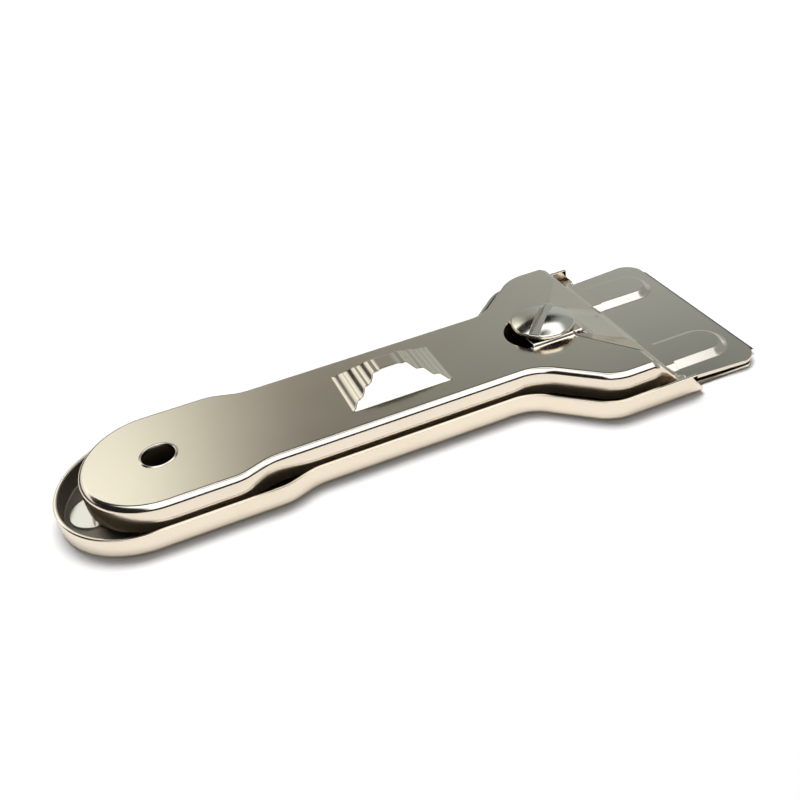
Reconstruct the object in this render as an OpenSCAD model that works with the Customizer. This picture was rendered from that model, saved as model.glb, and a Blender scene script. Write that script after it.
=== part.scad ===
// Razor blade scraper: two pressed steel shells, a clamp screw and a blade carriage that pulls back.
// Lengths run along X from the tail to the blade's edge; the base is at Z = 0.

/* [Overall] */
// Length from the round tail to the blade's edge
overall_length = 137.2; // [128:0.2:150]
// Height of the flat top above the base
top_height = 8.6; // [8:0.1:10]
// How far the carriage pulls back
travel = 3.1; // [2.4:0.1:3.3]

/* [Sheet] */
// Thickness of the pressed sheet
sheet = 0.8; // [0.6:0.05:0.9]
// Outer bend radius along the upper shell's top
upper_bend = 1.3; // [1:0.1:2]
// Outer bend radius along the lower shell's base
lower_bend = 1.2; // [1:0.1:1.8]
// Gap between flat faces that slide on each other
slip = 0.05; // [0.03:0.01:0.1]
// Gap between parts that pass each other
clearance = 0.3; // [0.25:0.05:0.5]

/* [Lower shell] */
// Width across the tail
tail_width = 31.8; // [29:0.2:35]
// Width across the waist
waist_width = 27.6; // [25:0.2:28.6]
// Width across the head
head_width = 49.8; // [48:0.2:53]
// Height of the side walls
wall_height = 4.5; // [4.2:0.1:5.2]

/* [Upper shell] */
// Side gap between the shells at tail and waist
side_gap = 0.9; // [0.6:0.1:1.2]
// Side gap between the shells at the head
head_gap = 1.6; // [1.2:0.1:2]
// Height of the bottom edge of the side walls
skirt_height = 3.3; // [2.8:0.1:3.8]
// Distance from the blade's edge back to the lip
lip_back = 18.4; // [17.6:0.2:19.4]
// Length of the sloped hood behind the lip
hood_length = 6.9; // [6:0.1:8]
// Height of the pad under the screw
pad_height = 0.8; // [0.5:0.1:1.2]
// Width of the pad under the screw
pad_width = 11.4; // [10:0.2:12]
// Diameter of the hanging hole
hole_d = 6.4; // [5:0.1:7]
// Distance from the tail to the hanging hole
hole_x = 20.4; // [19:0.2:24]
// Distance back from the screw's axis to the thumb rest's rear
thumb_start = 43.4; // [40:0.2:47]
// Length of the thumb rest
thumb_length = 20; // [17:0.5:22]
// Width of the thumb rest at its foot
thumb_width = 13.2; // [12:0.2:15]
// Rise of the thumb rest above the flat top
thumb_rise = 4.3; // [3:0.1:4.5]
// Number of ridges on each slope of the thumb rest
thumb_ridges = 3; // [2:1:4]

/* [Blade and holder] */
// Width of the blade
blade_width = 38; // [30:0.5:40]
// Depth of the blade
blade_depth = 20; // [19.4:0.1:21]
// Thickness of the blade
blade_thick = 0.25; // [0.2:0.01:0.4]
// Narrowing of the holder per millimetre towards the tail, each side
holder_taper = 0.06; // [0.04:0.01:0.08]
// Width of each pressed rib
rib_width = 9.3; // [7:0.1:10]
// Distance from the middle line to the centre of a rib
rib_offset = 13.3; // [12.5:0.1:13.8]
// Height of each rib
rib_height = 1.1; // [0.8:0.1:1.3]
// Distance between the locating pins
pin_spacing = 11; // [9:0.5:12]
// Diameter of the locating pins
pin_d = 3; // [2:0.1:3.2]

/* [Clamp screw] */
// Distance from the blade's edge back to the screw
screw_back = 37.3; // [36.6:0.1:38]
// Diameter of the screw's head
head_d = 12.8; // [11.6:0.1:14]
// Height of the head's straight rim
rim_height = 0.7; // [0.5:0.1:1]
// Rise of the head's dome above its rim
dome_height = 1.5; // [1.2:0.1:2]
// Width of the screwdriver slot
slot_width = 2.2; // [1.2:0.1:2.4]
// Depth of the screwdriver slot
slot_depth = 1.4; // [1:0.1:1.6]
// Turn of the screwdriver slot from the tool's length
slot_turn = 45; // [0:5:175]
// Diameter of the screw's thread
thread_d = 4; // [3:0.5:4]

/* [Tail spring] */
// Width of the spring strip
spring_width = 8.8; // [7:0.2:10]
// Thickness of the spring strip
spring_thick = 0.4; // [0.3:0.05:0.5]

/* [Hidden] */
$fn = 96;
eps = 0.01;
far = 200;
arc_step = 6;
bend_steps = 4;

// The two curves of each shell's outline: radius and steepest angle
narrow_r = 9;
narrow_angle = 20;
flare_r = 8.6;
flare_angle = 43;

// Stack of layers at the head, from the floor up
blade_z = sheet + slip;
holder_z = blade_z + blade_thick + slip;
holder_top = holder_z + sheet;
lip_top = holder_top + sheet;
rib_top = holder_top + rib_height;

// Flat land of the lip, fan behind the hood, and the plain strip beside the fan
lip_land = 1.4;
fan_length = 7.6;
fan_strip = 7.9;
// Blade shown ahead of the holder, and floor left ahead of the blade when it is pulled back
blade_show = 1.3;
blade_cover = 0.2;
// Pins' centres ahead of the blade's back edge
pin_inset = 0.2;
// Space left between the shells' tails when the carriage is back
tail_space = 1.6;
// Middles of the outlines' curves: from the tail, and behind the lip
lower_narrow_x = 43;
upper_narrow_x = 36;
lower_flare_back = 23.4;
upper_flare_back = 21.1;
// Lower shell's walls: where they end behind the lip, and how far their foot runs past it
wall_back = 0.7;
wall_foot = 2;
// Upper shell's walls: where their lower edge starts to drop to the holder, behind the lip
skirt_back = 3;
// Pad behind the screw's axis, and its flat part ahead of the slot
pad_back = 5;
pad_flat = 0.9;
// Depth of the pad's foot below the flat top
pad_root = 2.25;
// Round opening behind the pad: how far back it goes and half its width
mouth_depth = 3.2;
mouth_half = 5.5;
// Thumb rest: its level crest, the share of its slopes towards the tail, the tilt of its sides
thumb_crest = 4.5;
thumb_rear_share = 0.46;
thumb_tilt = 44;
// Rise of each ridge on the thumb rest, and the sheet's depth where it is drawn up
thumb_ridge_rise = 0.4;
drawn = 1.15 * sheet;
// Lengths hidden under the hood: the ribs' tails and the holder's shoulder
rib_tail = 8;
shoulder_back = 9;

// The holder is as wide as the upper shell
holder_width = head_width - 2 * (sheet + head_gap);

// Places along the length
lip_x = overall_length - lip_back;
screw_x = overall_length - screw_back;
mouth_x = screw_x - pad_back;
thumb_x = screw_x - thumb_start;
land_x = lip_x - lip_land;
crease_x = lip_x - hood_length;
fan_x = crease_x - fan_length;
fan_end_y = head_width / 2 - fan_strip;
holder_front = overall_length - blade_show;
tongue_front = overall_length - travel + blade_cover;
wall_front = lip_x - wall_back;
skirt_x = lip_x - skirt_back;
upper_tail = sheet + travel + tail_space;
pin_x = overall_length - blade_depth + pin_inset;

// Outlines: tail end, half widths at tail, waist and head, middles of the two curves, front end
lower_line = [0, tail_width / 2, waist_width / 2, head_width / 2, lower_narrow_x,
    lip_x - lower_flare_back, lip_x + wall_foot];
upper_line = [
    upper_tail,
    tail_width / 2 - sheet - side_gap,
    waist_width / 2 - sheet - side_gap,
    head_width / 2 - sheet - head_gap,
    upper_narrow_x,
    lip_x - upper_flare_back,
    lip_x
];

// Clamp stack above the pad
hood_drop = top_height - lip_top;
hood_angle = atan2(hood_drop, land_x - crease_x);
pad_top = top_height + pad_height;
washer_thick = 0.3;
washer_dish = 0.15;
washer_z = pad_top + slip;
head_z = washer_z + washer_thick + washer_dish + slip;
rim_z = head_z + rim_height;
dome_r = (pow(head_d / 2, 2) + pow(dome_height, 2)) / (2 * dome_height);
thread_play = 0.05;
shank_gap = 0.2;
bush_wall = 2.1;
bush_foot_wall = 1;
shank_r = thread_d / 2 - thread_play;
shank_z = sheet + shank_gap;
bush_r = thread_d / 2 + bush_wall;
bush_foot_r = thread_d / 2 + bush_foot_wall;
fan_slope = hood_drop / (land_x - fan_x);
bush_top = top_height - sheet - 2 * clearance - fan_slope * (screw_x + bush_r + travel - fan_x);
clamp_slot_r = shank_r + clearance;

// Points on an arc from angle a0 to a1 about c
function arc(c, r, a0, a1) =
    let (n = max(2, ceil(abs(a1 - a0) / arc_step)))
    [for (i = [0:n]) let (a = a0 + (a1 - a0) * i / n) [c[0] + r * cos(a), c[1] + r * sin(a)]];

// Length of an S-shaped curve that moves sideways by rise
function s_length(rise, r, angle) =
    let (run = (rise - 2 * r * (1 - cos(angle))) / sin(angle))
    2 * r * sin(angle) + run * cos(angle);

// One side of a shell's outline, moved inwards by d
function half_line(s, d) =
    let (
        narrow = s_length(s[1] - s[2], narrow_r, narrow_angle) / 2,
        flare = s_length(s[3] - s[2], flare_r, flare_angle) / 2
    )
    concat(
        arc([s[0] + s[1], 0], s[1] - d, 180, 90),
        arc([s[4] - narrow, s[1] - narrow_r], narrow_r - d, 90, 90 - narrow_angle),
        arc([s[4] + narrow, s[2] + narrow_r], narrow_r + d, 270 - narrow_angle, 270),
        arc([s[5] - flare, s[2] + flare_r], flare_r + d, 270, 270 + flare_angle),
        arc([s[5] + flare, s[3] - flare_r], flare_r - d, 90 + flare_angle, 90),
        [[s[6], s[3] - d]]
    );

// The same outline with a longer front, for the hollow that opens there
function open_front(s) = [for (i = [0:6]) i == 6 ? s[i] + 1 : s[i]];

// The whole outline, once round
function outline(s, d) =
    let (h = half_line(s, d), n = len(h))
    concat(h, [for (i = [n - 1:-1:1]) [h[i][0], -h[i][1]]]);

// A solid block in a shell's outline with a rounded edge round its top
module cap(s, d, z0, z1, bend) {
    r = bend - d;
    steps = [for (k = [0:bend_steps]) 90 * k / bend_steps];
    levels = concat([[d, z0]], [for (a = steps) [d + r * (1 - cos(a)), z1 - r + r * sin(a)]]);
    rings = [for (e = levels) [for (p = outline(s, e[0])) [p[0], p[1], e[1]]]];
    n = len(rings[0]);
    m = len(rings);
    half = (n + 1) / 2;
    strip = concat(
        [[0, 1, n - 1]],
        [for (i = [1:half - 2]) [i, i + 1, n - i]],
        [for (i = [1:half - 2]) [i + 1, n - i - 1, n - i]]
    );
    polyhedron(
        points = [for (ring = rings) for (p = ring) p],
        faces = concat(
            [for (f = strip) [f[2], f[1], f[0]]],
            [for (j = [0:m - 2]) for (i = [0:n - 1])
                [j * n + i, (j + 1) * n + (i + 1) % n, (j + 1) * n + i]],
            [for (j = [0:m - 2]) for (i = [0:n - 1])
                [j * n + i, j * n + (i + 1) % n, (j + 1) * n + (i + 1) % n]],
            [for (f = strip) [for (i = f) (m - 1) * n + i]]
        ),
        convexity = 6
    );
}

// The same block upside down, standing on its rounded edge
module tray(s, d, over) {
    translate([0, 0, wall_height])
        rotate([180, 0, 0])
            cap(s, d, -over, wall_height - d, lower_bend);
}

// A bar across the tool with the given side profile
module across(width) {
    rotate([90, 0, 0])
        linear_extrude(width, center = true)
            children();
}

// A round-ended slot along X from x0 to x1
module slot_2d(x0, x1, r) {
    translate([x0, 0])
        circle(r);
    translate([x1, 0])
        circle(r);
    translate([x0, -r])
        square([x1 - x0, 2 * r]);
}

// Space above the hood: the side slopes, the deeper fan in the middle and the arches over the ribs
module hood_space(d) {
    fan_start_y = pad_width / 2 + clearance;
    crease_angle = atan2(fan_end_y - fan_start_y, crease_x - fan_x);
    reach = (land_x - fan_x) * sin(crease_angle);
    translate([-d * tan(hood_angle / 2), 0, -d])
        difference() {
            union() {
                across(far)
                    polygon([
                        [crease_x, top_height],
                        [land_x, lip_top],
                        [far, lip_top],
                        [far, top_height + far],
                        [crease_x, top_height + far]
                    ]);
                intersection() {
                    across(far)
                        polygon([
                            [fan_x, top_height],
                            [land_x, lip_top],
                            [far, lip_top],
                            [far, top_height + far],
                            [fan_x, top_height + far]
                        ]);
                    fan_sides(fan_start_y, crease_angle, atan2(hood_drop, reach));
                }
            }
            arches(d);
        }
}

// Room between the two slanting sides of the fan
module fan_sides(start_y, angle, tilt) {
    intersection() {
        fan_side(start_y, angle, tilt);
        mirror([0, 1, 0])
            fan_side(start_y, angle, tilt);
    }
}

module fan_side(start_y, angle, tilt) {
    translate([fan_x, start_y, top_height])
        rotate([0, 0, angle])
            rotate([tilt, 0, 0])
                translate([-far, -far, 0])
                    cube([2 * far, far, far]);
}

// Material kept over the ribs, so that the lip arches over them
module arches(d) {
    arch_slope = 0.5;
    high = rib_width / 2 + sheet - d;
    low = high + arch_slope;
    for (side = [-1, 1])
        translate([crease_x, side * rib_offset, 0])
            rotate([90, 0, 90])
                linear_extrude(far)
                    polygon([
                        [-low, 0],
                        [low, 0],
                        [low, lip_top],
                        [high, rib_top + sheet + slip],
                        [-high, rib_top + sheet + slip],
                        [-low, lip_top]
                    ]);
}

// Pad under the screw: open towards the tail, with a front slope that runs down into the fan
module pad(d) {
    slope_x = screw_x + travel + clamp_slot_r + pad_flat;
    root_z = top_height - pad_root;
    slope_d = d * 3 / 4;
    across(pad_width - 2 * d)
        polygon([
            [mouth_x - d, root_z],
            [slope_x + pad_height + pad_root - slope_d, root_z],
            [slope_x + d - slope_d, pad_top - d],
            [mouth_x - d, pad_top - d]
        ]);
}

// Round opening that is left behind the pad where it is cut free of the flat top
module mouth() {
    mouth_r = (pow(mouth_half, 2) + pow(mouth_depth, 2)) / (2 * mouth_depth);
    translate([0, 0, top_height - sheet - 1])
        linear_extrude(far)
            intersection() {
                translate([mouth_x - mouth_depth + mouth_r, 0])
                    circle(mouth_r);
                translate([0, -far / 2])
                    square([mouth_x + slip, far]);
            }
}

// Height of the thumb rest at a distance u from its rear end
function thumb_height(u) =
    let (
        slopes = thumb_length - thumb_crest,
        rear = slopes * thumb_rear_share,
        part = min(u / rear, (thumb_length - u) / (slopes - rear), 1)
    )
    thumb_rise * part + thumb_ridge_rise * (1 - cos(360 * thumb_ridges * part)) / 2;

// Hump of the thumb rest: a ridged arch along the tool between two slanting sides
module thumb_hump(foot) {
    steps = 60;
    side = thumb_width / 2;
    foot_side = side + foot / tan(thumb_tilt);
    intersection() {
        across(2 * thumb_width)
            polygon(concat(
                [[thumb_length, -foot], [0, -foot]],
                [for (i = [0:steps]) let (u = thumb_length * i / steps) [u, thumb_height(u)]]
            ));
        translate([-1, 0, 0])
            rotate([90, 0, 90])
                linear_extrude(thumb_length + 2)
                    polygon([[-foot_side, -foot], [foot_side, -foot], [0, side * tan(thumb_tilt)]]);
    }
}

module upper_shell() {
    rim_width = 0.5;
    rim_rise = 0.2;
    rim_r = hole_d / 2 + rim_width;
    color("silver")
        difference() {
            union() {
                difference() {
                    cap(upper_line, 0, holder_top, top_height, upper_bend);
                    hood_space(0);
                }
                pad(0);
                translate([thumb_x, 0, top_height])
                    thumb_hump(sheet / 2);
                translate([hole_x, 0, top_height - sheet / 2])
                    cylinder(r = rim_r, h = sheet / 2 + rim_rise);
            }
            difference() {
                cap(open_front(upper_line), sheet, holder_top - 1, top_height - sheet, upper_bend);
                hood_space(sheet);
            }
            pad(sheet);
            mouth();
            translate([thumb_x, 0, top_height - drawn])
                thumb_hump(sheet);
            across(far)
                polygon([
                    [-1, 0],
                    [skirt_x + skirt_height - holder_top, 0],
                    [skirt_x + skirt_height - holder_top, holder_top],
                    [skirt_x, skirt_height],
                    [-1, skirt_height]
                ]);
            translate([0, 0, top_height - sheet - 1])
                linear_extrude(far)
                    slot_2d(screw_x, screw_x + travel, clamp_slot_r);
            translate([hole_x, 0, top_height - sheet - 1])
                cylinder(d = hole_d, h = far);
        }
}

module lower_shell() {
    tongue_half = holder_width / 2;
    tongue_corner = 1.5;
    color("silver")
        difference() {
            union() {
                difference() {
                    tray(lower_line, 0, 0);
                    tray(open_front(lower_line), sheet, 1);
                    across(far)
                        polygon([
                            [wall_front, wall_height + 1],
                            [wall_front, wall_height],
                            [lower_line[6], 1.25 * sheet],
                            [lower_line[6] + 1, 1.25 * sheet],
                            [lower_line[6] + 1, wall_height + 1]
                        ]);
                }
                linear_extrude(sheet)
                    front_plate_2d(lip_x - shoulder_back, tongue_front, tongue_half, 0, tongue_corner);
            }
            translate([0, 0, -1])
                linear_extrude(sheet + 2)
                    slot_2d(hole_x - travel, hole_x, hole_d / 2 + clearance);
            translate([screw_x, 0, -1])
                cylinder(r = bush_foot_r + slip / 2, h = sheet + 2);
        }
}

// Plate outline with two round front corners and sides that narrow towards the tail
module front_plate_2d(x0, x1, half, taper, corner) {
    side = half - taper * (x1 - x0);
    turn = atan(taper);
    polygon(concat(
        [[x0, -side]],
        arc([x1 - corner, -half + corner], corner, -90 + turn, 0),
        arc([x1 - corner, half - corner], corner, 0, 90 - turn),
        [[x0, side]]
    ));
}

module ribs_2d(inset) {
    rib_r = rib_width / 2;
    rib_front = 2.6;
    for (side = [-1, 1])
        translate([0, side * rib_offset])
            slot_2d(lip_x - rib_tail, holder_front - rib_front - rib_r, rib_r - inset);
}

module blade_holder() {
    holder_corner = 4;
    tang_side = 4;
    tang_end = 3;
    half = holder_width / 2;
    tang_half = bush_r + clearance + tang_side;
    shoulder_x = lip_x - shoulder_back;
    shoulder_half = half - holder_taper * (holder_front - shoulder_x);
    tang_x = screw_x - bush_r - clearance - tang_end;
    color("lightgray")
        difference() {
            union() {
                translate([0, 0, holder_z])
                    linear_extrude(sheet) {
                        front_plate_2d(shoulder_x, holder_front, half, holder_taper, holder_corner);
                        polygon([
                            [tang_x, -tang_half],
                            [screw_x + 1, -tang_half],
                            [shoulder_x, -shoulder_half],
                            [shoulder_x, shoulder_half],
                            [screw_x + 1, tang_half],
                            [tang_x, tang_half]
                        ]);
                    }
                translate([0, 0, holder_top - eps])
                    linear_extrude(rib_height + eps)
                        ribs_2d(0);
            }
            translate([0, 0, holder_z - 1])
                linear_extrude(rib_height + 1)
                    ribs_2d(sheet);
            translate([0, 0, holder_z - 1])
                linear_extrude(sheet + 2)
                    slot_2d(screw_x, screw_x + travel, bush_r + clearance);
            for (side = [-1, 1])
                translate([pin_x, side * pin_spacing / 2, holder_z - 1])
                    cylinder(d = pin_d, h = sheet + 2);
        }
}

module razor_blade() {
    back = overall_length - blade_depth;
    bevel = 1.6;
    color("gainsboro")
        difference() {
            translate([0, 0, blade_z])
                across(blade_width)
                    polygon([
                        [back, 0],
                        [overall_length - bevel, 0],
                        [overall_length, blade_thick / 2],
                        [overall_length - bevel, blade_thick],
                        [back, blade_thick]
                    ]);
            for (side = [-1, 1])
                translate([0, side * pin_spacing / 2, blade_z - 1])
                    linear_extrude(blade_thick + 2)
                        slot_2d(back - 5, pin_x, pin_d / 2 + clearance / 2);
        }
}

module locating_pins() {
    color("gray")
        for (side = [-1, 1])
            translate([pin_x, side * pin_spacing / 2, blade_z])
                cylinder(d = pin_d, h = holder_top - blade_z);
}

module clamp_screw() {
    color("silver")
        difference() {
            union() {
                translate([screw_x, 0, shank_z])
                    cylinder(r = shank_r, h = head_z - shank_z + eps);
                translate([screw_x, 0, head_z])
                    cylinder(d = head_d, h = rim_height);
                intersection() {
                    translate([screw_x, 0, rim_z + dome_height - dome_r])
                        sphere(dome_r);
                    translate([screw_x, 0, rim_z - eps])
                        cylinder(d = head_d, h = dome_height + 1);
                }
            }
            translate([screw_x, 0, rim_z + dome_height - slot_depth])
                rotate([0, 0, slot_turn])
                    translate([-head_d, -slot_width / 2, 0])
                        cube([2 * head_d, slot_width, slot_depth + 1]);
        }
}

module spring_washer() {
    overhang = 0.6;
    inner_r = shank_r + clearance;
    outer_r = head_d / 2 - overhang;
    color("darkgray")
        translate([screw_x, 0, washer_z])
            rotate_extrude()
                polygon([
                    [inner_r, washer_dish],
                    [outer_r, 0],
                    [outer_r, washer_thick],
                    [inner_r, washer_dish + washer_thick]
                ]);
}

module threaded_bush() {
    color("dimgray")
        translate([screw_x, 0, 0])
            difference() {
                union() {
                    cylinder(r = bush_foot_r, h = sheet + eps);
                    translate([0, 0, sheet])
                        cylinder(r = bush_r, h = bush_top - sheet);
                }
                translate([0, 0, -1])
                    cylinder(d = thread_d, h = far);
            }
}

module tail_spring() {
    foot_x = 2;
    tip_run = 1.6;
    ramp_x = upper_tail + sheet + clearance;
    tip_x = hole_x - travel - hole_d / 2 - clearance;
    peak_x = tip_x - tip_run;
    peak_z = top_height - sheet - slip;
    foot_r = spring_width / 2;
    t = spring_thick;
    color("dimgray")
        intersection() {
            across(spring_width)
                polygon([
                    [foot_x, sheet],
                    [ramp_x + t, sheet],
                    [peak_x + t, peak_z - t],
                    [tip_x, peak_z - 3 * t],
                    [tip_x, peak_z - 2 * t],
                    [peak_x, peak_z],
                    [ramp_x, sheet + t],
                    [foot_x, sheet + t]
                ]);
            linear_extrude(far)
                slot_2d(foot_x + foot_r, far, foot_r);
        }
}

// The origin is under the middle of the tool
module place() {
    translate([-overall_length / 2, 0, 0])
        children();
}

place() lower_shell();
place() upper_shell();
place() blade_holder();
place() razor_blade();
place() locating_pins();
place() clamp_screw();
place() spring_washer();
place() threaded_bush();
place() tail_spring();
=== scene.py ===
import math

import bpy
import numpy as np
from mathutils import Matrix, Vector
from mathutils.geometry import delaunay_2d_cdt


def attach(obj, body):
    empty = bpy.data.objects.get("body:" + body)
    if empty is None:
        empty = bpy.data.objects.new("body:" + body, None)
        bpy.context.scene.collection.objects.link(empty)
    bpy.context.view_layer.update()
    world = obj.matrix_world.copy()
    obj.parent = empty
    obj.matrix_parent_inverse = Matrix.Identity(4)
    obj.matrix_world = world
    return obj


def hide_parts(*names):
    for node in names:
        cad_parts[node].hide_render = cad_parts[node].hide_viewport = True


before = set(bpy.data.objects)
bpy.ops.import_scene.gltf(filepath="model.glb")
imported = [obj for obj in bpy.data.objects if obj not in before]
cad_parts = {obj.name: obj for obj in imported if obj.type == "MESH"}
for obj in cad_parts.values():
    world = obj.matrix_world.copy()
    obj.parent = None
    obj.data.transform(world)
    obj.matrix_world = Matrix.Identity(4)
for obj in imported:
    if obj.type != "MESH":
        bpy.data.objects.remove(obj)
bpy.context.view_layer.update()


# The view: a close three-quarter look down on the tool from its near side, tail at the left.
# The camera is tipped a little, so that the tool climbs from lower left to upper right.
view_turn = math.radians(-17.259)
view_rise = math.radians(36.041)
view_tip = math.radians(-8.287)
view_distance = 0.19052
view_target = Vector((0.00023, 0.00373, 0.0))
back_axis = Vector((math.sin(view_turn) * math.cos(view_rise),
                    -math.cos(view_turn) * math.cos(view_rise),
                    math.sin(view_rise)))
level_right = Vector((0, 0, 1)).cross(back_axis).normalized()
level_up = back_axis.cross(level_right)
right_axis = math.cos(view_tip) * level_right + math.sin(view_tip) * level_up
up_axis = math.cos(view_tip) * level_up - math.sin(view_tip) * level_right
camera_data = bpy.data.cameras.new("view")
camera_data.lens = 42.143
camera_data.sensor_width = 36.0
camera_data.sensor_fit = "HORIZONTAL"
camera_data.clip_start = 0.005
camera = bpy.data.objects.new("view", camera_data)
bpy.context.scene.collection.objects.link(camera)
camera.matrix_world = (Matrix.Translation(view_target + back_axis * view_distance)
                       @ Matrix((right_axis, up_axis, back_axis)).transposed().to_4x4())
bpy.context.scene.camera = camera


# Lower shell: the tray that lies on the table, pressed from one steel sheet and nickel plated.
# Its floor runs out in front as a flat tongue under the blade, and its walls are bent up all round.
# Lengths are in millimetres from the tail, and tool_tail takes them to the frame's origin.
tool_tail = 68.6
sheet = 0.8


def arc(cx, cy, radius, start, end, step=3.0):
    """Points on a round arc in plan, from one turn in degrees to another."""
    turns = np.radians(np.linspace(start, end, max(3, int(math.ceil(abs(end - start) / step))) + 1))
    return np.column_stack((cx + radius * np.cos(turns), cy + radius * np.sin(turns)))


def pressed_side(line, inset):
    """The corners of one side of a shell, tail to front, and the steps that each straight run takes."""
    tail, tail_half, waist_half, head_half, narrow_x, flare_x, front = line
    narrow_r, narrow_turn, flare_r, flare_turn = 9.0, 20.0, 8.6, 43.0

    def half_run(rise, radius, turn):
        turn = math.radians(turn)
        straight = (rise - 2 * radius * (1 - math.cos(turn))) / math.sin(turn)
        return radius * math.sin(turn) + straight * math.cos(turn) / 2

    narrow = half_run(tail_half - waist_half, narrow_r, narrow_turn)
    flare = half_run(head_half - waist_half, flare_r, flare_turn)
    corners = np.vstack((
        arc(tail + tail_half, 0, tail_half - inset, 180, 90),
        arc(narrow_x - narrow, tail_half - narrow_r, narrow_r - inset, 90, 90 - narrow_turn),
        arc(narrow_x + narrow, waist_half + narrow_r, narrow_r + inset, 270 - narrow_turn, 270),
        arc(flare_x - flare, waist_half + flare_r, flare_r + inset, 270, 270 + flare_turn),
        arc(flare_x + flare, head_half - flare_r, flare_r - inset, 90 + flare_turn, 90),
        [[front, head_half - inset]]))
    lengths = np.hypot(*np.diff(corners, axis=0).T)
    return corners, [max(1, int(length / 1.5)) for length in lengths]


def pressed_line(line, inset):
    """The open outline of a shell: front far corner, round the tail, front near corner."""
    parts = pressed_side(line, 0)[1]
    corners = pressed_side(line, inset)[0]
    side = [corners[0]]
    for first, last, n in zip(corners[:-1], corners[1:], parts):
        side += [first + (last - first) * (k + 1) / n for k in range(n)]
    side = np.array(side)
    return np.vstack((side[::-1], side[1:] * (1, -1)))


def outward(path):
    """Plan normals of an open outline that runs from the front far corner round the tail."""
    along = np.gradient(path, axis=0)
    along /= np.linalg.norm(along, axis=1)[:, None]
    return np.column_stack((along[:, 1], -along[:, 0]))


def inside_loop(points, loop):
    """Which points lie inside a closed loop in plan."""
    x, y = points.T
    within = np.zeros(len(points), bool)
    for (x0, y0), (x1, y1) in zip(loop, np.roll(loop, -1, axis=0)):
        if y0 != y1:
            crosses = (y0 > y) != (y1 > y)
            within ^= crosses & (x < (x1 - x0) * (y - y0) / (y1 - y0) + x0)
    return within


def fill_sheet(loops, inner_points):
    """Triangles inside the first loop and outside the others, through every given point."""
    points, edges = [], []
    for loop in loops:
        base = len(points)
        points += [Vector(p) for p in loop]
        edges += [(base + k, base + (k + 1) % len(loop)) for k in range(len(loop))]
    points += [Vector(p) for p in inner_points]
    made = delaunay_2d_cdt(points, edges, [], 1, 1e-5)
    place = np.empty(len(points), int)
    for k, sources in enumerate(made[3]):
        for source in sources:
            place[source] = k
    plan, triangles = np.array([tuple(p) for p in made[0]]), np.array(made[2])
    middles = plan[triangles].mean(axis=1)
    keep = inside_loop(middles, loops[0])
    for hole in loops[1:]:
        keep &= ~inside_loop(middles, hole)
    return plan, triangles[keep], place


def strips(rows):
    """Triangles between rows of point numbers, each row as long as the next."""
    rows = np.asarray(rows)
    a, b = rows[:-1, :-1].ravel(), rows[:-1, 1:].ravel()
    c, d = rows[1:, 1:].ravel(), rows[1:, :-1].ravel()
    return np.vstack((np.column_stack((a, b, c)), np.column_stack((a, c, d))))


def unit(vectors):
    return vectors / np.maximum(np.linalg.norm(vectors, axis=1), 1e-9)[:, None]


def facing(points, normals, triangles):
    """The same triangles, each turned to face the way its corners' normals point."""
    a, b, c = (points[triangles[:, k]] for k in range(3))
    across = np.cross(b - a, c - a)
    keep = np.einsum("ij,ij->i", across, normals[triangles].sum(axis=1)) >= 0
    big = np.linalg.norm(across, axis=1) > 1e-9
    return np.where(keep[:, None], triangles, triangles[:, ::-1])[big]


def piece_from(name, points, normals, triangles, marks):
    """A piece of the tool as a plain mesh, with its own normals and named marks on its points."""
    mesh = bpy.data.meshes.new(name)
    placed = (points - (tool_tail, 0, 0)) * 0.001
    mesh.from_pydata(placed.tolist(), [], triangles.tolist())
    mesh.shade_smooth()
    mesh.normals_split_custom_set_from_vertices(unit(normals).tolist())
    for mark, values in marks.items():
        layer = mesh.attributes.new(mark, "FLOAT", "POINT")
        layer.data.foreach_set("value", np.ascontiguousarray(values, dtype=np.float32))
    piece = bpy.data.objects.new(name, mesh)
    bpy.context.scene.collection.objects.link(piece)
    return piece


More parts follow.
